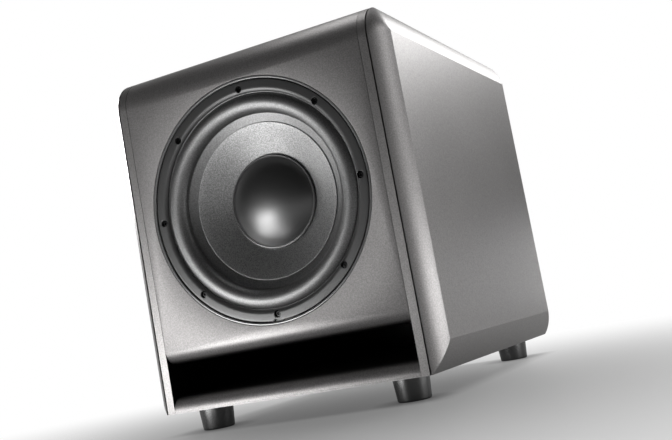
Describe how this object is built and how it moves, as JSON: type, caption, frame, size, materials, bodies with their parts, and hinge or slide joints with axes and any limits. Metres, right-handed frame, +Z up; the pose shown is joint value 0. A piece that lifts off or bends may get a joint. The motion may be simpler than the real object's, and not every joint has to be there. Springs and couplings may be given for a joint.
{
  "type": "powered subwoofer",
  "caption": "Floor-standing powered subwoofer: boxed cabinet with bevelled side cheeks, front cone driver, full-width slot port, rubber feet and rear amplifier plate.",
  "frame": {"origin": "on the floor, under the middle of the cabinet", "axes": "+Z up, the driver and the slot port face -Y, +X to the right as seen from the front"},
  "size_m": [0.351, 0.456, 0.407],
  "materials": {
    "cabinet_paint": "satin grey metallic-fleck lacquer on fibreboard",
    "raw_board": "fibreboard stained black",
    "foot_rubber": "smooth semi-gloss moulded rubber",
    "plated_steel": "zinc-plated",
    "trim_plastic": "satin dark grey moulding",
    "gasket_rubber": "closed-cell foam rubber",
    "cast_frame": "black powder coat on die-cast metal",
    "surround_rubber": "smooth satin butyl rubber",
    "cone_shell": "metal-flecked injection-moulded cone",
    "dust_cap_shell": "satin dark moulding",
    "coil_former_sheet": "black anodised sheet",
    "copper_wire": "enamelled copper winding",
    "spider_cloth": "resin-stiffened corrugated cloth",
    "motor_steel": "black-passivated steel",
    "ferrite": "matt sintered ferrite",
    "black_plastic": "fine-textured moulding",
    "black_screw": "black oxide",
    "amp_metal": "black anodised, finely brushed",
    "knob_plastic": "soft-touch black",
    "jack_metal": "nickel-plated",
    "led_lens": "tinted clear lens",
    "circuit_board": "green solder resist",
    "lead_jacket_red": "smooth red wire insulation",
    "lead_jacket_black": "smooth black wire insulation"
  },
  "bodies": {
    "cabinet": {"front_baffle": "cabinet_paint", "top_panel": "cabinet_paint", "bottom_panel": "cabinet_paint", "rear_panel": "cabinet_paint", "side_panel_left": "cabinet_paint", "side_panel_right": "cabinet_paint", "side_cheek_left": "cabinet_paint", "side_cheek_right": "cabinet_paint", "port_shelf": "raw_board", "cross_brace": "raw_board", "foot_front_left": "foot_rubber", "foot_front_right": "foot_rubber", "foot_rear_left": "foot_rubber", "foot_rear_right": "foot_rubber", "foot_screw_front_left": "plated_steel", "foot_screw_front_right": "plated_steel", "foot_screw_rear_left": "plated_steel", "foot_screw_rear_right": "plated_steel", "baffle_trim_ring": "trim_plastic", "flange_ring": "trim_plastic", "driver_gasket": "gasket_rubber", "basket": "cast_frame", "surround": "surround_rubber", "spider": "spider_cloth", "top_plate": "motor_steel", "back_yoke": "motor_steel", "magnet": "ferrite", "terminal_strip": "black_plastic", "mains_inlet": "black_plastic", "switch_housing": "black_plastic", "driver_screw_1": "black_screw", "driver_screw_2": "black_screw", "driver_screw_3": "black_screw", "driver_screw_4": "black_screw", "driver_screw_5": "black_screw", "driver_screw_6": "black_screw", "driver_screw_7": "black_screw", "driver_screw_8": "black_screw", "amp_plate": "amp_metal", "heatsink": "amp_metal", "amp_screw_1": "plated_steel", "amp_screw_2": "plated_steel", "amp_screw_3": "plated_steel", "amp_screw_4": "plated_steel", "rca_jack_left": "jack_metal", "rca_jack_right": "jack_metal", "status_led": "led_lens", "amp_board": "circuit_board", "transformer": "copper_wire", "lead_positive": "lead_jacket_red", "lead_negative": "lead_jacket_black"},
    "moving_assembly": {"cone": "cone_shell", "dust_cap": "dust_cap_shell", "coil_former": "coil_former_sheet", "voice_coil": "copper_wire"},
    "level_knob": {"level_knob": "knob_plastic"},
    "crossover_knob": {"crossover_knob": "knob_plastic"},
    "phase_slider": {"phase_slider": "knob_plastic"},
    "mode_slider": {"mode_slider": "knob_plastic"},
    "power_rocker": {"power_rocker": "knob_plastic"}
  },
  "joints": [
    {"name": "cone_travel", "type": "slide", "parent": "cabinet", "child": "moving_assembly", "axis": [0, -1, 0], "range_m": [-0.01, 0.01], "stiffness_N_per_m": 3000, "deforming": ["surround", "spider"]},
    {"name": "level_turn", "type": "hinge", "parent": "cabinet", "child": "level_knob", "pos_m": [0.07, 0.22, 0.228], "axis": [0, -1, 0], "range_deg": [-150, 150]},
    {"name": "crossover_turn", "type": "hinge", "parent": "cabinet", "child": "crossover_knob", "pos_m": [0.02, 0.22, 0.228], "axis": [0, -1, 0], "range_deg": [-150, 150]},
    {"name": "phase_slide", "type": "slide", "parent": "cabinet", "child": "phase_slider", "axis": [1, 0, 0], "range_m": [0, 0.005]},
    {"name": "mode_slide", "type": "slide", "parent": "cabinet", "child": "mode_slider", "axis": [1, 0, 0], "range_m": [0, 0.005]},
    {"name": "power_rock", "type": "hinge", "parent": "cabinet", "child": "power_rocker", "pos_m": [-0.016, 0.2133, 0.142], "axis": [1, 0, 0], "range_deg": [0, 14]}
  ]
}
